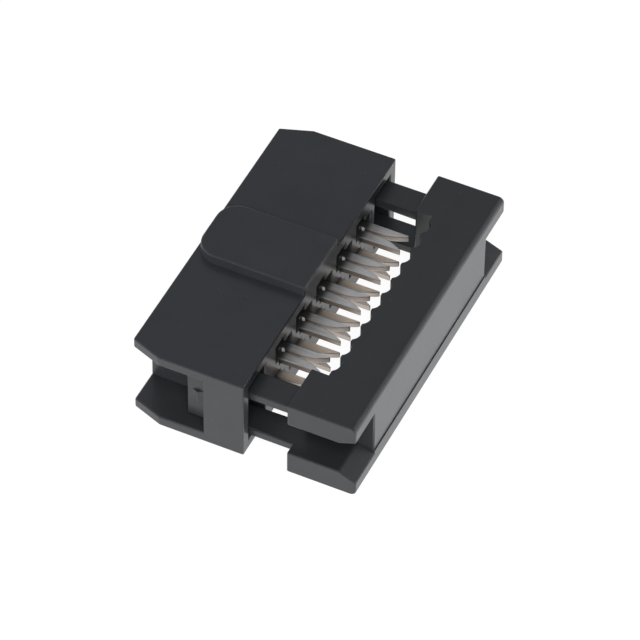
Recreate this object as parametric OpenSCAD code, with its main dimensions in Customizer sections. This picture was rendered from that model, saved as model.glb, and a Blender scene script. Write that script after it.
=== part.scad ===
// Two-row ribbon cable socket of the insulation displacement kind, in millimetres.
// X runs along the rows, -Y is the mating face, +Y the cable side, +Z the key side.
// The cover is drawn in its open place, half way up its latch legs, ready for a ribbon.

/* [Contact field] */
// Spacing of the pin sockets along a row
pitch = 2; // [1.9:0.05:2.4]
// Number of pin sockets in a row
columns = 5; // [3:1:8]
// Spacing of the two rows
row_pitch = 2; // [1.9:0.05:2.2]

/* [Housing] */
// Thickness, from the underside to the key side
body_t = 4.2; // [4:0.1:5]
// Depth, from the mating face to the cable face
body_d = 5.4; // [5:0.1:6.4]
// From the last column to the end of the housing
end_margin = 3.575; // [3.4:0.025:4.2]
// From the last column to the end wall of the contact block
core_margin = 1.45; // [1.3:0.05:1.5]
// Thickness of the flanges above and below the latch pockets
flange_t = 0.5; // [0.35:0.05:0.6]
// Corner cut of the flanges, along the rows
corner_x = 0.52; // [0.2:0.02:0.8]
// Corner cut of the flanges, along the depth
corner_y = 1.43; // [0.5:0.01:2]
// Thickness of the end bars that bridge the flanges
bar_t = 0.53; // [0.4:0.01:0.6]
// Length of the end bars, from the cable face
bar_l = 1.9; // [1.2:0.1:2.6]

/* [Polarising key] */
// Width of the key along the rows
key_w = 3.3; // [2.4:0.1:5]
// Height of the key above the housing
key_h = 0.48; // [0.3:0.02:1]
// Setback of the key from the mating face
key_setback = 0.1; // [0:0.05:0.5]
// Radius of the key's two leading corners
key_r = 1; // [0.3:0.05:1.1]

/* [Pin sockets] */
// Side of the square pin entry
entry_w = 0.75; // [0.6:0.05:0.8]
// Widening of the entry on each side at the mating face
entry_lead = 0.2; // [0.05:0.05:0.3]
// Depth of the widening
entry_lead_d = 0.3; // [0.1:0.05:0.4]
// Thickness of the wall between the mating face and the spring chambers
entry_wall = 0.6; // [0.5:0.05:0.8]
// Play beside a contact in its chamber
side_gap = 0.06; // [0.03:0.01:0.08]
// Play above a contact's spring beams
top_gap = 0.1; // [0.05:0.05:0.15]

/* [Contacts] */
// Thickness of the flat blade
blade_t = 0.3; // [0.2:0.01:0.34]
// Height of the blade's middle above or below the housing's middle
fork_z = 0.33; // [0.3:0.01:0.45]
// Width of the fork
fork_w = 1; // [0.8:0.05:1.1]
// Reach of the fork past the cable face
fork_out = 1.87; // [1.6:0.01:2]
// Width of the wire slot
slot_w = 0.13; // [0.08:0.01:0.2]
// Depth of the wire slot inside the cable face
slot_in = 0.16; // [0.1:0.01:0.6]
// Radius of the slot's round root
slot_root_r = 0.13; // [0.11:0.01:0.2]
// Length of the curved lead-in to the slot
lead_l = 1.25; // [0.6:0.05:1.4]
// Width of each tip
tip_w = 0.05; // [0.02:0.01:0.12]
// Depth of the blade's root inside the cable face
root_d = 1.6; // [1.2:0.1:2]
// Length of a retaining barb
barb_l = 0.3; // [0.2:0.05:0.4]
// Width of the receptacle over its two spring beams
recep_w = 0.72; // [0.66:0.02:0.8]
// Length of the receptacle's folded root
recep_root_l = 0.8; // [0.5:0.1:1]
// Thickness of a spring beam
beam_t = 0.12; // [0.08:0.01:0.14]
// Height of a spring beam
beam_h = 0.6; // [0.4:0.05:0.7]
// How far each beam bows in towards the pin
beam_bow = 0.05; // [0.02:0.01:0.08]
// From the beams' mouth to their tightest place
nip_l = 0.6; // [0.4:0.1:1]
// Gap between the entry wall and the beams' mouth
mouth_gap = 0.1; // [0.05:0.05:0.3]

/* [Cover] */
// Gap from the cable face to the cover's ends while it is open
open_gap = 2.02; // [1.96:0.02:2.4]
// Gap that is left there when the cover is pressed home
press_left = 0.05; // [0.02:0.01:0.1]
// Depth of the cover
cover_d = 3.22; // [2.9:0.02:4]
// How much the cover is thinner than the housing on each side; the open cover settles by it
cover_play = 0.06; // [0:0.01:0.1]
// From the last column to the end of the ribbon recess
recess_margin = 1.2; // [1.1:0.05:1.5]
// Depth of the ribbon recess
recess_d = 0.8; // [0.5:0.02:0.9]
// Radius of the wire grooves in the recess
groove_r = 0.5; // [0.45:0.01:0.6]
// Depth of the wire grooves
groove_d = 0.2; // [0.1:0.02:0.3]
// Play round a fork tip in its pocket
pocket_gap = 0.06; // [0.03:0.01:0.08]
// Play past a fork tip when the cover is pressed home
pocket_end = 0.15; // [0.05:0.05:0.4]
// Height of the open channel at each end
channel_h = 1.75; // [1.6:0.05:2]
// Length over which the channel flares to the back
flare_l = 0.8; // [0.4:0.1:1.2]
// Rise of the flare above and below
flare_h = 0.35; // [0.1:0.01:0.5]
// Radius along the back's upper and lower edges
back_r = 0.28; // [0.1:0.02:0.4]
// How far the strip along the back's lower edge stands proud
back_step = 0.05; // [0.03:0.01:0.15]
// Height of that strip
strip_h = 0.97; // [0.7:0.01:1.2]

/* [Latch] */
// Gap between a latch leg and the end bar
leg_gap = 0.05; // [0.03:0.01:0.1]
// Thickness of a latch leg along the rows
leg_w = 1.3; // [1:0.05:1.4]
// Height of a latch leg
leg_h = 2.65; // [2.4:0.05:2.9]
// Reach of an open leg past the cable face
leg_reach = 2.9; // [2.6:0.1:3.1]
// Length of the cross piece at a leg's tip
tip_l = 0.85; // [0.6:0.05:1]
// Lead-in cut at the tip's inner corner
tip_lead = 0.4; // [0.2:0.05:0.6]
// How far a catch reaches into the leg's window
catch_bite = 1.2; // [0.6:0.05:1.25]
// Length of the catch's ramp
catch_l = 1; // [0.6:0.1:1.2]
// Height of a catch
catch_h = 0.7; // [0.5:0.05:1.4]
// Gap between a catch and the open leg's cross piece
catch_gap = 0.05; // [0.03:0.01:0.15]
// How far the nub near a leg's tip stands out, to click behind the end bar
nub_out = 0.14; // [0.08:0.01:0.3]
// Length of a nub
nub_l = 0.6; // [0.4:0.05:0.7]
// Height of a nub
nub_h = 0.7; // [0.4:0.05:1]
// Gap between the end bar and the open leg's nub
nub_gap = 0.2; // [0.05:0.05:0.3]

/* [Hidden] */
$fn = 48;
// How far a cut runs past the face that it opens
over = 0.2;

// Heights are measured from the housing's middle, so that both rows mirror each other.
half_t = body_t / 2;
row_z = row_pitch / 2;
wire_pitch = pitch / 2;
last_column = (columns - 1) * pitch / 2;
half_l = last_column + end_margin;
core_half = last_column + core_margin;
recess_half = last_column + recess_margin;
leg_out = half_l - bar_t - leg_gap;
leg_in = leg_out - leg_w;

// Depths: the mating face, and the inner face of the cover's ends.
y_mate = -(body_d + open_gap + cover_d) / 2;
y_cover = y_mate + body_d + open_gap;

blade_low = fork_z - blade_t / 2;
blade_high = fork_z + blade_t / 2;
beam_low = row_z - beam_h / 2;
beam_top = row_z + beam_h / 2;
roof_top = beam_top + beam_t;
recep_half = recep_w / 2;
root_y = body_d - root_d;
fork_x = -wire_pitch / 2;
fork_left = fork_x - fork_w / 2;
fork_right = fork_x + fork_w / 2;
lead_rise = (fork_w - slot_w) / 2 - tip_w;
lead_r = (lead_l * lead_l + lead_rise * lead_rise) / (2 * lead_rise);

// The cover lies on the same surface as the housing, so its middle is lower by its play.
cover_half_t = half_t - cover_play;
pocket_play = pocket_gap + cover_play;
pocket_d = fork_out - press_left - recess_d + pocket_end;
tip_y = body_d - leg_reach;

contact_nodes = [for (i = [1 : 2 * columns]) str("contact_", i)];

// Column of contact i, counted from 0; the two contacts of a column have neighbouring numbers.
function column_x(i) = last_column - floor(i / 2) * pitch;
function is_lower(i) = i % 2 == 1;

// A plan outline as a slab between two heights.
module slab(low, high) {
    translate([0, 0, low])
        linear_extrude(high - low)
            children();
}

// A section across the rows, drawn as (Y, Z), carried from one X to another.
module along_rows(from, to) {
    translate([from, 0, 0])
        rotate([90, 0, 90])
            linear_extrude(to - from)
                children();
}

module both_ends() {
    children();
    mirror([1, 0, 0])
        children();
}

// Puts a shape drawn for an upper contact at contact i; a lower one is turned half round.
module at_contact(i) {
    translate([column_x(i), 0, 0])
        rotate([0, is_lower(i) ? 180 : 0, 0])
            children();
}

// Housing

module housing_outline() {
    polygon([
        [-half_l + corner_x, 0], [half_l - corner_x, 0], [half_l, corner_y],
        [half_l, body_d], [-half_l, body_d], [-half_l, corner_y]
    ]);
}

// Latch pocket: open to the mating face and the cable face, and to the end short of the bar.
module pocket_outline() {
    polygon([
        [core_half, -over], [half_l + over, -over], [half_l + over, body_d - bar_l],
        [half_l - bar_t, body_d - bar_l], [half_l - bar_t, body_d + over], [core_half, body_d + over]
    ]);
}

// Wedge that holds the leg's cross piece while the cover is open; it ramps up from the cable side.
module catch_outline() {
    flat_y = tip_y + tip_l + catch_gap;
    polygon([[core_half - over, flat_y], [leg_in + catch_bite, flat_y],
             [core_half, flat_y + catch_l], [core_half - over, flat_y + catch_l]]);
}

// Key with two rounded leading corners, flush with the cable face.
module key_outline() {
    straight_y = key_setback + key_r;
    translate([-key_w / 2, straight_y])
        square([key_w, body_d - straight_y]);
    translate([-key_w / 2 + key_r, key_setback])
        square([key_w - 2 * key_r, key_r + over]);
    for (side = [-1, 1])
        translate([side * (key_w / 2 - key_r), straight_y])
            circle(key_r);
}

// Slot for an upper contact's blade and the tongue behind it.
module slot_outline() {
    tongue_edge = -recep_half - side_gap;
    tongue_y = root_y - recep_root_l - top_gap;
    left = fork_left - side_gap;
    right = fork_right + side_gap;
    polygon([
        [right, tongue_y], [right, body_d + over], [left, body_d + over],
        [left, root_y], [tongue_edge, root_y], [tongue_edge, tongue_y]
    ]);
}

// Chamber of an upper contact: a passage for the springs, joined to the slot for the blade.
module chamber() {
    spring_half = recep_half + side_gap;
    slab(beam_low - top_gap, roof_top + top_gap)
        translate([-spring_half, entry_wall])
            square([2 * spring_half, body_d + over - entry_wall]);
    slab(blade_low, row_z + top_gap)
        slot_outline();
}

// Half of a pin entry's section: a funnel at the mating face, then a parallel hole.
module entry_outline() {
    half = entry_w / 2;
    slope = entry_lead / entry_lead_d;
    wide = half + entry_lead + slope * over;
    polygon([
        [-over, -wide], [entry_lead_d, -half], [entry_wall + over, -half],
        [entry_wall + over, half], [entry_lead_d, half], [-over, wide]
    ]);
}

// Square pin entry: the same section along the rows and across them.
module pin_entry() {
    reach = entry_w / 2 + entry_lead + over;
    translate([0, 0, row_z])
        intersection() {
            along_rows(-reach, reach)
                entry_outline();
            slab(-reach, reach)
                mirror([1, -1])
                    entry_outline();
        }
}

module housing() {
    color([0.17, 0.18, 0.19])
        translate([0, y_mate, half_t]) {
            difference() {
                union() {
                    difference() {
                        slab(-half_t, half_t)
                            housing_outline();
                        both_ends()
                            slab(-half_t + flange_t, half_t - flange_t)
                                pocket_outline();
                    }
                    both_ends()
                        slab(-catch_h / 2, catch_h / 2)
                            catch_outline();
                    slab(half_t - flange_t / 2, half_t + key_h)
                        key_outline();
                }
                for (i = [0 : 2 * columns - 1])
                    at_contact(i) {
                        chamber();
                        pin_entry();
                    }
            }
        }
}

// Contacts

// Two tines with a narrow wire slot, a round slot root and tips that curve apart.
module fork_outline() {
    difference() {
        translate([-fork_w / 2, -root_d])
            square([fork_w, root_d + fork_out]);
        translate([-slot_w / 2, -slot_in])
            square([slot_w, slot_in + fork_out + over]);
        translate([0, -slot_in])
            circle(slot_root_r);
        translate([0, fork_out - lead_l])
            difference() {
                translate([-fork_w / 2, 0])
                    square([fork_w, lead_l + over]);
                for (side = [-1, 1])
                    translate([side * (slot_w / 2 + lead_r), 0])
                        intersection() {
                            circle(lead_r);
                            translate([-lead_r - over, -over])
                                square([2 * (lead_r + over), lead_l + over]);
                        }
            }
    }
}

// A tooth on the root's edge that grips the chamber wall against a pull towards the cable.
module barb_outline() {
    polygon([[0, 0], [side_gap, barb_l], [0, barb_l]]);
}

// Fork, root and the tongue that carries the receptacle, as they lie in the sheet.
module blade_outline() {
    translate([fork_x, body_d])
        fork_outline();
    translate([-recep_half, root_y - recep_root_l])
        square([fork_right + recep_half, recep_root_l + barb_l]);
    translate([fork_right, root_y + barb_l])
        barb_outline();
    translate([fork_left, root_y + barb_l])
        mirror([1, 0])
            barb_outline();
}

// Section of the receptacle's root: a wall folded up from the tongue, a roof over the pin, a wall down.
module fold_section() {
    inner = recep_half - beam_t;
    polygon([
        [-recep_half, blade_low], [-recep_half, roof_top], [recep_half, roof_top], [recep_half, beam_low],
        [inner, beam_low], [inner, beam_top], [-inner, beam_top], [-inner, blade_low]
    ]);
}

// One spring beam in plan: straight at its root, bowed in at the pin, turned out at the mouth.
module beam_outline() {
    mouth_y = entry_wall + mouth_gap;
    nip_y = mouth_y + nip_l;
    bend_y = root_y - recep_root_l;
    outer = recep_half;
    inner = recep_half - beam_t;
    polygon([
        [outer, root_y], [outer, bend_y], [outer - beam_bow, nip_y], [outer, mouth_y],
        [inner, mouth_y], [inner - beam_bow, nip_y], [inner, bend_y], [inner, root_y]
    ]);
}

module contact(i) {
    color([0.72, 0.70, 0.67])
        translate([0, y_mate, half_t])
            at_contact(i) {
                slab(blade_low, blade_high)
                    blade_outline();
                both_ends()
                    slab(beam_low, beam_top)
                        beam_outline();
                translate([0, root_y, 0])
                    rotate([90, 0, 0])
                        linear_extrude(recep_root_l)
                            fold_section();
            }
}

// Cover

// What rounds a back edge whose two faces meet at the origin, with the block to the left and below.
module edge_cut() {
    translate([-back_r, -back_r])
        difference() {
            square(back_r + over);
            circle(back_r);
        }
}

// Section of the cover: a block with two rounded back edges, and a proud strip along the lower one.
module cover_section() {
    back = cover_d - back_step;
    difference() {
        translate([0, -cover_half_t])
            square([cover_d, 2 * cover_half_t]);
        translate([back, strip_h - cover_half_t])
            square([back_step + over, 2 * cover_half_t]);
        translate([back, cover_half_t])
            edge_cut();
        translate([cover_d, -cover_half_t])
            mirror([0, 1])
                edge_cut();
    }
}

// Section of the open channel at each end, which flares towards the back.
module channel_section() {
    half = channel_h / 2;
    flare_y = cover_d - flare_l;
    wide = half + flare_h * (flare_l + over) / flare_l;
    polygon([
        [-over, -half], [flare_y, -half], [cover_d + over, -wide],
        [cover_d + over, wide], [flare_y, half], [-over, half]
    ]);
}

// Ribbon recess with a groove for each wire and a pocket for each fork.
module ribbon_recess() {
    translate([-recess_half, -over, -half_t])
        cube([2 * recess_half, recess_d + over, body_t]);
    for (k = [0 : 2 * columns - 1])
        translate([(k - columns + 0.5) * wire_pitch, recess_d + groove_d - groove_r, -half_t])
            cylinder(r = groove_r, h = body_t);
    for (i = [0 : 2 * columns - 1])
        at_contact(i)
            translate([fork_left - pocket_gap, recess_d - over, blade_low - pocket_play])
                cube([fork_w + 2 * pocket_gap, pocket_d + over, blade_t + 2 * pocket_play]);
}

// Latch leg in plan, with its lead-in at the tip; it runs a little into the cover's block.
module leg_outline() {
    tip = -open_gap - leg_reach;
    polygon([
        [leg_in + tip_lead, tip], [leg_out, tip], [leg_out, over],
        [leg_in, over], [leg_in, tip + tip_lead]
    ]);
}

// Nub on a leg's outer face, a ridge that rises and falls along the leg.
module nub_outline() {
    last = -open_gap - bar_l - nub_gap;
    polygon([
        [leg_out - leg_gap, last], [leg_out, last], [leg_out + nub_out, last - nub_l / 2],
        [leg_out, last - nub_l], [leg_out - leg_gap, last - nub_l]
    ]);
}

// Latch leg: two rails joined by a cross piece at the tip, which carries the nub.
module latch_leg() {
    window_y = -open_gap - leg_reach + tip_l;
    difference() {
        slab(-leg_h / 2, leg_h / 2)
            leg_outline();
        translate([leg_in - over, window_y, -channel_h / 2])
            cube([leg_w + 2 * over, over - window_y + over, channel_h]);
    }
    slab(-nub_h / 2, nub_h / 2)
        nub_outline();
}

module cover() {
    color([0.18, 0.19, 0.20])
        translate([0, y_cover, cover_half_t]) {
            difference() {
                along_rows(-half_l, half_l)
                    cover_section();
                both_ends()
                    along_rows(leg_in, half_l + over)
                        channel_section();
                ribbon_recess();
            }
            both_ends()
                latch_leg();
        }
}

housing();
cover();
for (i = [0 : 2 * columns - 1])
    contact(i);
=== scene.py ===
# %% [markdown]
# # A ribbon cable socket, dressed for the camera
# The real object is a black moulded housing with ten fork contacts, and a black cover that waits on two
# latch legs for a flat cable. The frame below brings in the solids at their true size and place, in
# metres. This file only gives them soft edges, finishes, light and a camera.

# %% Load the frame
import math

import bmesh
import bpy
import numpy as np
from mathutils import Matrix, Vector


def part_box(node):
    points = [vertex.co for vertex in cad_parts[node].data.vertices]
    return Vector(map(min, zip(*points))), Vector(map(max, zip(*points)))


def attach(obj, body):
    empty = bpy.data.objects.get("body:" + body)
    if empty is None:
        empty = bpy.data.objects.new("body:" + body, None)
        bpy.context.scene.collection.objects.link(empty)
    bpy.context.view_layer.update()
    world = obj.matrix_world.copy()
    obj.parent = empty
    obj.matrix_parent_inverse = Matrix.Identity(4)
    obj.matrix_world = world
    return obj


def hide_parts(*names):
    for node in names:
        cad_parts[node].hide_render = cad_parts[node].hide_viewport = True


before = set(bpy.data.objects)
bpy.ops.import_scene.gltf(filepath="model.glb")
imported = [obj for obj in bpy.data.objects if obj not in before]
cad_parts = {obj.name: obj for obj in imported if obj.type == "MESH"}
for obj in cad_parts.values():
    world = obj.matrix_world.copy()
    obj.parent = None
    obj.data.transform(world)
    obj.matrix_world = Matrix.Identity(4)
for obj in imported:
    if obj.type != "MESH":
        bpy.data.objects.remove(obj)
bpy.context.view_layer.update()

MM = 0.001
scene = bpy.context.scene
scene.view_settings.view_transform = "Standard"

# %% [markdown]
# ## The camera
# The photograph was taken with a long lens from well above the near end, so its parallel edges hardly
# meet. A camera could be aimed by eye, but here its direction, distance and slight roll are written as
# measures, taken from the straight edges of the housing, and turned into the three axes of the camera.

# %% Camera
VIEW_AZIMUTH = math.radians(114.73)
VIEW_ELEVATION = math.radians(46.60)
VIEW_ROLL = math.radians(1.0)
VIEW_DISTANCE = 216.92 * MM
VIEW_AIM = Vector((-0.98, -0.40, 0.0)) * MM
SENSOR_WIDTH = 36.0
LENS = 281.25
CLIP_START = 10 * MM


def camera_axes(azimuth, elevation, roll):
    """Right, up and backward axes of a camera: backward points from the aim to the camera, right is level
    before the roll, up completes the set, and the roll turns right and up about backward."""
    back = Vector((
        math.sin(azimuth) * math.cos(elevation),
        -math.cos(azimuth) * math.cos(elevation),
        math.sin(elevation),
    ))
    level = Vector((math.cos(azimuth), math.sin(azimuth), 0.0))
    upright = back.cross(level)
    right = level * math.cos(roll) + upright * math.sin(roll)
    return right, back.cross(right), back


right_axis, up_axis, back_axis = camera_axes(VIEW_AZIMUTH, VIEW_ELEVATION, VIEW_ROLL)
camera_data = bpy.data.cameras.new("photo_camera")
camera_data.sensor_width = SENSOR_WIDTH
camera_data.lens = LENS
camera_data.clip_start = CLIP_START
camera = bpy.data.objects.new("photo_camera", camera_data)
turn = Matrix((right_axis, up_axis, back_axis)).transposed().to_4x4()
camera.matrix_world = Matrix.Translation(VIEW_AIM + back_axis * VIEW_DISTANCE) @ turn
scene.collection.objects.link(camera)
scene.camera = camera
print("camera at mm:", [round(v / MM, 1) for v in camera.location])

# %% [markdown]
# ## Node trees in few words
# A finish is a small graph of shader nodes. Writing each node out takes many lines, so one helper adds a
# node, sets its plain values and links its inputs. The kinds that come up again and again get a short
# helper each, so that the finishes below read like a recipe.

# %% Node helpers
WHITE = (1, 1, 1, 1)


def add_node(tree, kind, settings=None, **inputs):
    """A new shader node: settings are its own options, inputs are values or output sockets by socket name,
    with spaces written as underscores and a number as a leading i."""
    node = tree.nodes.new(kind)
    for option, value in (settings or {}).items():
        setattr(node, option, value)
    for label, value in inputs.items():
        name = int(label[1:]) if label[0] == "i" and label[1:].isdigit() else label.replace("_", " ")
        socket = node.inputs[name]
        if isinstance(value, bpy.types.NodeSocket):
            tree.links.new(value, socket)
        else:
            socket.default_value = value
    return node


def new_tree(material):
    """The emptied node tree of a material, and its output node."""
    material.use_nodes = True
    tree = material.node_tree
    tree.nodes.clear()
    return tree, tree.nodes.new("ShaderNodeOutputMaterial")


def maths(tree, operation, first, second=0.0):
    """One arithmetic node and its result."""
    return add_node(tree, "ShaderNodeMath", {"operation": operation}, i0=first, i1=second).outputs[0]


def scaled(tree, value, factor, plus=0.0):
    """factor * value + plus."""
    node = add_node(tree, "ShaderNodeMath", {"operation": "MULTIPLY_ADD"}, i0=value, i1=factor, i2=plus)
    return node.outputs[0]


def ramp(tree, value, start, end, **settings):
    """(value - start) / (end - start), cut off below 0 and above 1."""
    node = add_node(tree, "ShaderNodeMapRange", settings, Value=value, From_Min=start, From_Max=end)
    return node.outputs[0]


def blend(tree, share, first, second, **settings):
    """A mix of two colours, (1 - share) * first + share * second, unless the settings ask for another."""
    node = add_node(tree, "ShaderNodeMix", {"data_type": "RGBA", **settings}, i0=share, i6=first, i7=second)
    return node.outputs[2]


def noise(tree, place, per_metre, detail):
    """A soft random pattern from 0 to 1, with so many blots to the metre."""
    node = add_node(tree, "ShaderNodeTexNoise", Vector=place, Scale=per_metre, Detail=detail)
    return node.outputs["Fac"]


print("helpers:", [helper.__name__ for helper in (add_node, new_tree, maths, scaled, ramp, blend, noise)])

# %% [markdown]
# ## Floor
# The photograph has a white ground. A floor that only reflects light would need a great deal of it to look
# white, and that light would wash out the black plastic. So the floor glows white to the camera and to
# reflections, with a small reflecting share that still takes the shadow of the object. To all other light
# it is a pale card that lights the object from below.

# %% Floor
FLOOR_HALF = 600 * MM
FLOOR_STEPS = 9
FLOOR_DROP = 0.02 * MM
FLOOR_GLOW = 0.94
FLOOR_SHADE = (0.16, 0.16, 0.16, 1)
FLOOR_BOUNCE = (0.95, 0.92, 0.9, 1)


def flat_grid(half, height, steps):
    """Points of a level square: x and y run from -half to half in equal steps, z is the height."""
    line = np.linspace(-half, half, steps)
    x, y = np.meshgrid(line, line, indexing="ij")
    points = np.stack([x, y, np.full_like(x, height)], axis=-1).reshape(-1, 3)
    index = np.arange(steps * steps).reshape(steps, steps)
    corners = [index[:-1, :-1], index[1:, :-1], index[1:, 1:], index[:-1, 1:]]
    return points, np.stack(corners, axis=-1).reshape(-1, 4)


def seen_directly(tree):
    """1 for rays from the camera, from a shiny surface or through a clear one, 0 for soft bounces."""
    path = tree.nodes.new("ShaderNodeLightPath")
    seen = maths(tree, "MAXIMUM", path.outputs["Is Camera Ray"], path.outputs["Is Glossy Ray"])
    return maths(tree, "MAXIMUM", seen, path.outputs["Is Transmission Ray"])


def floor_finish():
    """White that glows where it is seen directly, and only reflects for soft bounces."""
    material = bpy.data.materials.new("white_floor")
    tree, output = new_tree(material)
    glow = add_node(tree, "ShaderNodeEmission", Color=WHITE, Strength=FLOOR_GLOW)
    shade = add_node(tree, "ShaderNodeBsdfDiffuse", Color=FLOOR_SHADE)
    both = add_node(tree, "ShaderNodeAddShader", i0=glow.outputs[0], i1=shade.outputs[0])
    bounce = add_node(tree, "ShaderNodeBsdfDiffuse", Color=FLOOR_BOUNCE)
    choice = add_node(
        tree, "ShaderNodeMixShader",
        Fac=seen_directly(tree), i1=bounce.outputs[0], i2=both.outputs[0],
    )
    tree.links.new(choice.outputs[0], output.inputs["Surface"])
    return material


floor_points, floor_quads = flat_grid(FLOOR_HALF, -FLOOR_DROP, FLOOR_STEPS)
floor_mesh = bpy.data.meshes.new("floor")
floor_mesh.from_pydata(floor_points.tolist(), [], floor_quads.tolist())
floor = bpy.data.objects.new("floor", floor_mesh)
floor.data.materials.append(floor_finish())
scene.collection.objects.link(floor)
print("floor faces:", len(floor_mesh.polygons))

# %% [markdown]
# ## Sky
# Around the floor is a plain room of soft, slightly cool light. A picture of a room could stand there, but
# a level that changes from one side to the other is enough: the room is dimmer behind the cover, because
# the face that looks at the cover is dark in the photograph. Shiny surfaces see the room brighter than it
# lights them, which gives the metal its sheen, and the camera sees plain white.

# %% Sky
SKY_LIGHT = 0.2
SKY_SHINE = 0.4
SKY_BEHIND = 0.5
SKY_TURN = 0.25
SKY_TINT = (0.95, 1.0, 1.06, 1)


def studio_sky():
    """A world whose level falls from 1 to SKY_BEHIND times its light as y of the view direction rises from
    -SKY_TURN to SKY_TURN."""
    world = bpy.data.worlds.new("studio")
    world.use_nodes = True
    tree = world.node_tree
    tree.nodes.clear()
    path = tree.nodes.new("ShaderNodeLightPath")
    direction = tree.nodes.new("ShaderNodeTexCoord").outputs["Generated"]
    way = add_node(tree, "ShaderNodeSeparateXYZ", Vector=direction)
    behind = ramp(tree, way.outputs["Y"], -SKY_TURN, SKY_TURN)
    side = scaled(tree, behind, SKY_BEHIND - 1.0, 1.0)
    soft = scaled(tree, path.outputs["Is Glossy Ray"], SKY_SHINE - SKY_LIGHT, SKY_LIGHT)
    level = maths(tree, "MAXIMUM", path.outputs["Is Camera Ray"], maths(tree, "MULTIPLY", soft, side))
    tint = blend(tree, path.outputs["Is Camera Ray"], SKY_TINT, WHITE)
    light = add_node(tree, "ShaderNodeBackground", Color=tint, Strength=level)
    output = tree.nodes.new("ShaderNodeOutputWorld")
    tree.links.new(light.outputs[0], output.inputs["Surface"])
    return world


scene.world = studio_sky()
print("sky level:", SKY_LIGHT, "behind:", SKY_LIGHT * SKY_BEHIND)

# %% [markdown]
# ## Lamps
# The shadows in the photograph say where its light came from. The cover's back is bright but the face that
# looks at the cover is dark, so a low card lights the back from close behind. The near ends are lit from
# low at the left, by a strip at arm's length. The tops and the gaps get a soft box above the camera's
# side. A small spot at the far side is seen only in reflections. The bright dot at the root of each wire
# slot is a painted glint in the contact finish.

# %% Lamps


def place_lamp(name, azimuth, elevation, distance, width, height, level, mirrored=False):
    """An area lamp that looks at the origin from a compass direction, in degrees from -Y towards +X.
    A white card that faced it there would show the brightness level. A small lamp of power P at distance d
    gives a facing card the brightness P / (pi * d) ** 2, so the power is level * (pi * d) ** 2. A mirrored
    lamp is seen in shiny surfaces and gives no soft light, and the others are the other way round."""
    data = bpy.data.lights.new(name, "AREA")
    data.shape = "RECTANGLE"
    data.size = width
    data.size_y = height
    data.energy = level * (math.pi * distance) ** 2
    lamp = bpy.data.objects.new(name, data)
    lamp.visible_camera = False
    lamp.visible_glossy = mirrored
    lamp.visible_diffuse = not mirrored
    axes = camera_axes(math.radians(azimuth), math.radians(elevation), 0.0)
    aim = Matrix(axes).transposed().to_4x4()
    lamp.matrix_world = Matrix.Translation(axes[2] * distance) @ aim
    scene.collection.objects.link(lamp)
    return lamp


ARM = 600 * MM
lamps = [
    place_lamp(
        "back_strip", azimuth=190, elevation=1.7,
        distance=36 * MM, width=60 * MM, height=2 * MM, level=1.9,
    ),
    place_lamp(
        "left_strip", azimuth=60, elevation=6,
        distance=ARM, width=400 * MM, height=100 * MM, level=0.55,
    ),
    place_lamp(
        "near_box", azimuth=112, elevation=50,
        distance=ARM, width=300 * MM, height=300 * MM, level=0.5,
    ),
    place_lamp(
        "far_spot", azimuth=212, elevation=38,
        distance=ARM, width=50 * MM, height=50 * MM, level=0.1, mirrored=True,
    ),
]
print("lamps:", [lamp.name for lamp in lamps])

# %% [markdown]
# ## Moulded black plastic
# The housing and the cover are glass-filled polyester: near black, matt, with a very fine grain and a few
# pale specks of dust. The finish mixes noise at three sizes, all measured in object space so that the
# grain has its real size. Edges that have been handled are a shade lighter, found by comparing the true
# normal with a rounded one.

# %% Plastic finish
HOUSING_BLACK = (0.036, 0.039, 0.043, 1)
COVER_BLACK = (0.032, 0.034, 0.037, 1)
COARSE_DETAIL = 3.0
FINE_DETAIL = 2.0
CLOUDS_PER_METRE = 700.0
RUBS_PER_METRE = 4500.0
GRAINS_PER_METRE = 14000.0
DUST_CELLS_PER_METRE = 1300.0
DUST_SIZE = 0.035
DUST_LIFT = 1.6
CLOUD_SHARE = 0.3
GRAIN_SHARE = 0.35
PLAIN_SHARE = 0.68
WEAR_LIFT = 0.8
WEAR_RADIUS = 0.05 * MM
WEAR_SAMPLES = 6
WEAR_START, WEAR_FULL = 0.5, 0.7
PLASTIC_ROUGHNESS = 0.26
GRAIN_ROUGHNESS = 0.12
GRAIN_DEPTH = 0.006 * MM
GRAIN_STRENGTH = 0.35


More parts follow.
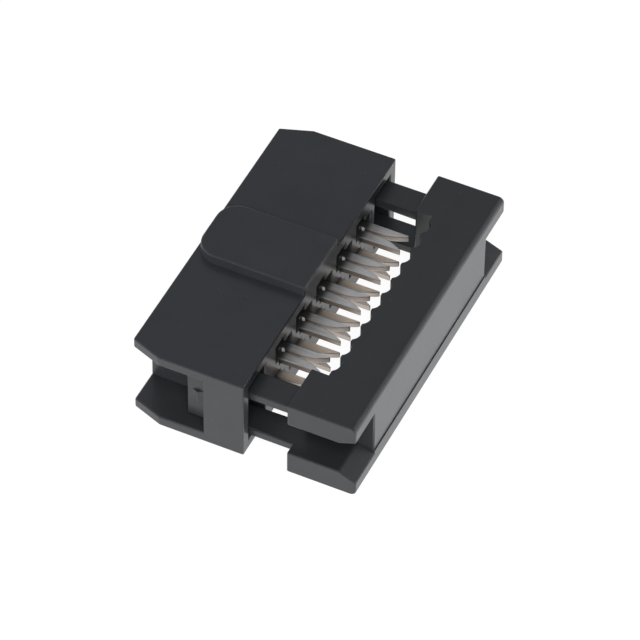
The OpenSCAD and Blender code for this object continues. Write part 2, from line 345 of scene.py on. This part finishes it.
def plastic_finish(name, colour, seed):
    """Black plastic: the colour times CLOUD_SHARE * cloud + GRAIN_SHARE * grain + PLAIN_SHARE, which is
    about 1, plus what wear and dust add. The seed moves the noise, so that no two mouldings are alike."""
    material = bpy.data.materials.new(name)
    tree, output = new_tree(material)
    object_place = tree.nodes.new("ShaderNodeTexCoord").outputs["Object"]
    place = add_node(tree, "ShaderNodeMapping", Vector=object_place, Location=(seed, seed, seed)).outputs[0]
    cloud = noise(tree, place, CLOUDS_PER_METRE, COARSE_DETAIL)
    grain = noise(tree, place, GRAINS_PER_METRE, FINE_DETAIL)
    tone = scaled(tree, cloud, CLOUD_SHARE, scaled(tree, grain, GRAIN_SHARE, PLAIN_SHARE))
    dust_cells = add_node(tree, "ShaderNodeTexVoronoi", Vector=place, Scale=DUST_CELLS_PER_METRE)
    dust = maths(tree, "LESS_THAN", dust_cells.outputs["Distance"], DUST_SIZE)
    rounded = add_node(tree, "ShaderNodeBevel", {"samples": WEAR_SAMPLES}, Radius=WEAR_RADIUS).outputs[0]
    flat = tree.nodes.new("ShaderNodeNewGeometry").outputs["Normal"]
    likeness = add_node(tree, "ShaderNodeVectorMath", {"operation": "DOT_PRODUCT"}, i0=rounded, i1=flat)
    bend = maths(tree, "SUBTRACT", 1.0, likeness.outputs["Value"])
    rubbed = ramp(tree, noise(tree, place, RUBS_PER_METRE, FINE_DETAIL), WEAR_START, WEAR_FULL)
    wear = maths(tree, "MULTIPLY", bend, rubbed)
    lift = scaled(tree, dust, DUST_LIFT, scaled(tree, wear, WEAR_LIFT, tone))
    paint = blend(tree, 1.0, colour, lift, blend_type="MULTIPLY")
    rough = scaled(tree, grain, GRAIN_ROUGHNESS, PLASTIC_ROUGHNESS)
    bump = add_node(
        tree, "ShaderNodeBump", Strength=GRAIN_STRENGTH, Distance=GRAIN_DEPTH, Height=grain,
    ).outputs[0]
    shader = add_node(tree, "ShaderNodeBsdfPrincipled", Base_Color=paint, Roughness=rough, Normal=bump)
    tree.links.new(shader.outputs[0], output.inputs["Surface"])
    return material


housing_plastic = plastic_finish("housing_black", HOUSING_BLACK, seed=1.0)
cover_plastic = plastic_finish("cover_black", COVER_BLACK, seed=2.0)
print("finishes:", housing_plastic.name, cover_plastic.name)

# %% [markdown]
# ## Tinned contact strip
# The contacts are punched from bronze strip that was tinned before punching. So the flat faces are silver,
# with faint rolling marks along the strip, and the cut edges show the warm bronze. The normal tells which
# is which: upright on a flat face and level on a cut edge. The lower row gets a warmer tone of its own, a
# painted shade and reflection for a row that lies lower and is lit less than the upper one.
#
# Each blade lies in deep shade where it enters the moulding, and shows a bright glint at the root of its
# wire slot. Light alone would leave the blade too pale and the glint too dim, so a painted shade darkens
# the blade there, and a painted glint, white and not metallic, brightens the root.

# %% Contact tones and places
ROLLING_PER_METRE = 11000.0
ROLLING_STRETCH = (1.0, 0.06, 1.0)
ROLLING_SHARE = 0.7
STAINS_PER_METRE = 2500.0
STAIN_SHARE = 0.3
STREAK_START, STREAK_FULL = 0.35, 0.65
TIN_DIM = (0.78, 0.75, 0.73, 1)
TIN_BRIGHT = (1.0, 0.97, 0.94, 1)
# painted shade and reflection: the warmer tone of the lower row, which lies lower and is lit less
TIN_LOWER_ROW_PAINTED_SHADE = (0.89, 0.785, 0.68, 1)
BRONZE = (0.58, 0.51, 0.46, 1)
# painted shade: the dark tone of a blade where it lies in shade inside the moulding
TIN_PAINTED_SHADE = (0.19, 0.19, 0.19, 1)
LOWER_ROW_TOP, UPPER_ROW_FOOT = 2.0 * MM, 2.2 * MM
EDGE_TILT, FACE_TILT = 0.3, 0.9
CABLE_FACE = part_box("housing")[1][1]
# painted shade on the blade: it starts just outside the cable face, is full just inside it, and fades out
# deeper in
PAINTED_SHADE_START, PAINTED_SHADE_FULL = CABLE_FACE + 0.28 * MM, CABLE_FACE - 0.08 * MM
PAINTED_SHADE_LAST, PAINTED_SHADE_END = CABLE_FACE - 0.4 * MM, CABLE_FACE - 0.6 * MM
SLOT_ROOT = CABLE_FACE - 0.16 * MM
# painted glint: full within the first distance from the slot root, gone beyond the second
GLINT_FULL, GLINT_END = 0.06 * MM, 0.08 * MM
TIN_METALLIC = 0.85
TIN_ROUGHNESS = 0.28
ROLLING_ROUGHNESS = 0.2
ROLLING_DEPTH = 0.004 * MM
ROLLING_STRENGTH = 0.15
print("cable face at y in mm:", round(CABLE_FACE / MM, 2))

# %% Contact finish


def contact_finish():
    """Tinned strip. The rolling marks are noise drawn out along Y, and the tones follow the height (a
    painted shade and reflection on the lower row), the tilt of the face and the distance from the cable
    face (a painted shade inside the moulding and a painted glint at the slot root)."""
    material = bpy.data.materials.new("tinned_strip")
    tree, output = new_tree(material)
    coords = tree.nodes.new("ShaderNodeTexCoord")
    place = coords.outputs["Object"]
    stretched = add_node(tree, "ShaderNodeMapping", Vector=place, Scale=ROLLING_STRETCH).outputs[0]
    rolling = noise(tree, stretched, ROLLING_PER_METRE, COARSE_DETAIL)
    stain = noise(tree, place, STAINS_PER_METRE, COARSE_DETAIL)
    streaks = scaled(tree, rolling, ROLLING_SHARE, scaled(tree, stain, STAIN_SHARE))
    axes = add_node(tree, "ShaderNodeSeparateXYZ", Vector=place)
    depth = axes.outputs["Y"]
    normal = add_node(tree, "ShaderNodeSeparateXYZ", Vector=coords.outputs["Normal"])
    tilt = maths(tree, "ABSOLUTE", normal.outputs["Z"])

    upper_tin = blend(tree, ramp(tree, streaks, STREAK_START, STREAK_FULL), TIN_DIM, TIN_BRIGHT)
    upper_row = ramp(tree, axes.outputs["Z"], LOWER_ROW_TOP, UPPER_ROW_FOOT)
    # painted shade and reflection: the lower row takes its warmer tone, the upper row the streaked tin
    tin_and_row_shade = blend(tree, upper_row, TIN_LOWER_ROW_PAINTED_SHADE, upper_tin)
    strip = blend(tree, ramp(tree, tilt, EDGE_TILT, FACE_TILT), BRONZE, tin_and_row_shade)

    # painted shade on the blade where it enters the moulding
    shade_inside = ramp(tree, depth, PAINTED_SHADE_START, PAINTED_SHADE_FULL, interpolation_type="SMOOTHSTEP")
    painted_shade_mask = maths(tree, "MULTIPLY", shade_inside, ramp(tree, depth, PAINTED_SHADE_END, PAINTED_SHADE_LAST))
    from_root = maths(tree, "ABSOLUTE", maths(tree, "SUBTRACT", depth, SLOT_ROOT))
    cut_edge = maths(tree, "LESS_THAN", tilt, EDGE_TILT)
    # painted glint: white and not metallic, on the level walls at the slot root
    painted_glint = maths(tree, "MULTIPLY", cut_edge, ramp(tree, from_root, GLINT_END, GLINT_FULL))
    # the painted shade and the painted glint replace the tin inside the mouth
    colour = blend(tree, painted_shade_mask, strip, blend(tree, painted_glint, TIN_PAINTED_SHADE, WHITE))
    # the painted glint also takes the metal away
    metallic = scaled(tree, painted_glint, -TIN_METALLIC, TIN_METALLIC)

    rough = scaled(tree, rolling, ROLLING_ROUGHNESS, TIN_ROUGHNESS)
    rounded = add_node(tree, "ShaderNodeBevel", {"samples": WEAR_SAMPLES}, Radius=WEAR_RADIUS).outputs[0]
    bump = add_node(
        tree, "ShaderNodeBump",
        Strength=ROLLING_STRENGTH, Distance=ROLLING_DEPTH, Height=rolling, Normal=rounded,
    ).outputs[0]
    shader = add_node(
        tree, "ShaderNodeBsdfPrincipled",
        Base_Color=colour, Metallic=metallic, Roughness=rough, Normal=bump,
    )
    tree.links.new(shader.outputs[0], output.inputs["Surface"])
    return material


contact_metal = contact_finish()
print("finish:", contact_metal.name)

# %% [markdown]
# ## Soft edges
# A steel mould can't be perfectly sharp, so every outer edge of a moulding has a tiny radius that catches
# a line of light. The solids have sharp edges. A copy of each solid's mesh is merged into whole faces, and
# a Bevel modifier rounds its outer edges, while inner corners stay sharp. A narrow ledge has less room
# than a broad face, so each edge gets a weight that says how much of the radius fits there. The copy then
# stands for the solid.

# %% Room beside an edge
MERGE_DISTANCE = 0.0001 * MM


def width_across(side):
    """How far a face reaches inward from one of its sides: to the first edge that a line square to the
    side's middle meets, to the nearest corner that lies beside it, or to the end of a short neighbour that
    turns inward. With s along the side and t inward, an edge from (s0, t0) to (s1, t1) is met at
    t = t0 - s0 * (t1 - t0) / (s1 - s0)."""
    start = side.vert.co
    along = side.link_loop_next.vert.co - start
    inward = side.face.normal.cross(along.normalized())
    corners = np.array([corner.vert.co for corner in side.face.loops]) - np.array(start + along / 2)
    s0 = corners @ np.array(along.normalized())
    t0 = corners @ np.array(inward)
    s1 = np.roll(s0, -1)
    t1 = np.roll(t0, -1)
    met = s0 * s1 < 0
    crossings = t0[met] - s0[met] * (t1 - t0)[met] / (s1 - s0)[met]
    beside = (np.abs(s0) < along.length / 2 - MERGE_DISTANCE) & (t0 > MERGE_DISTANCE)
    reach = list(crossings[crossings > MERGE_DISTANCE]) + list(t0[beside])
    for tip, foot in (
        (side.link_loop_prev.vert.co, start),
        (side.link_loop_next.link_loop_next.vert.co, side.link_loop_next.vert.co),
    ):
        rise = (tip - foot).dot(inward)
        if rise > (tip - foot).length / 2:
            reach.append(rise)
    return min(reach, default=0.0)


print("corners closer than this are one, in mm:", MERGE_DISTANCE / MM)

# %% Softened copies
FLAT_ANGLE = math.radians(0.5)
CREASE_ANGLE = math.radians(8)
SHARP_ANGLE = math.radians(28)
CREASE_ROOM = 0.35 * MM
ROOM_SHARE = 0.4
MOULD_RADIUS = 0.07 * MM
STRIP_RADIUS = 0.04 * MM
ARC_STEPS = 3


def whole_faces(mesh, radius):
    """Merges a mesh of loose triangles at equal corners, joins the triangles that share a plane, and weighs
    each sharp edge: 1 where both faces have room for the radius, less in proportion where one is narrow,
    and 0 in an inner corner. A slight bend counts as an edge between broad faces, but not between the
    facets of a curve."""
    work = bmesh.new()
    work.from_mesh(mesh)
    bmesh.ops.remove_doubles(work, verts=work.verts, dist=MERGE_DISTANCE)
    bmesh.ops.dissolve_limit(work, angle_limit=FLAT_ANGLE, verts=work.verts, edges=work.edges)
    work.normal_update()
    weight = work.edges.layers.float.new("bevel_weight_edge")
    for edge in work.edges:
        angle = edge.calc_face_angle(0.0)
        if angle > CREASE_ANGLE:
            room = min(width_across(side) for side in edge.link_loops)
            if angle > SHARP_ANGLE or room > CREASE_ROOM:
                edge.smooth = False
                edge[weight] = min(1.0, ROOM_SHARE * room / radius) if edge.is_convex else 0.0
    work.to_mesh(mesh)
    work.free()


def softened(node, piece_name, body, finish, radius):
    """A copy of a solid with rounded edges, which stands for that solid."""
    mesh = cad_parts[node].data.copy()
    mesh.materials.clear()
    mesh.materials.append(finish)
    whole_faces(mesh, radius)
    mesh.polygons.foreach_set("use_smooth", np.ones(len(mesh.polygons), dtype=bool))
    piece = bpy.data.objects.new(piece_name, mesh)
    scene.collection.objects.link(piece)
    rounding = piece.modifiers.new("soft_edges", "BEVEL")
    rounding.width = radius
    rounding.segments = ARC_STEPS
    rounding.limit_method = "WEIGHT"
    rounding.use_clamp_overlap = False
    shading = piece.modifiers.new("even_shading", "WEIGHTED_NORMAL")
    shading.keep_sharp = True
    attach(piece, body)
    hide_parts(node)
    return piece


housing = softened(
    "housing", "moulded_housing", "housing", housing_plastic, MOULD_RADIUS,
)
cover = softened(
    "cover", "moulded_cover", "cover", cover_plastic, MOULD_RADIUS,
)
contacts = [
    softened(node, "tinned_" + node, "housing", contact_metal, STRIP_RADIUS)
    for node in sorted(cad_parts) if node.startswith("contact_")
]
print("pieces:", housing.name, cover.name, len(contacts), "contacts")

# %% [markdown]
# ## Last update
# The view layer is brought up to date, so that every piece stands where its body puts it.

# %% Finish
bpy.context.view_layer.update()
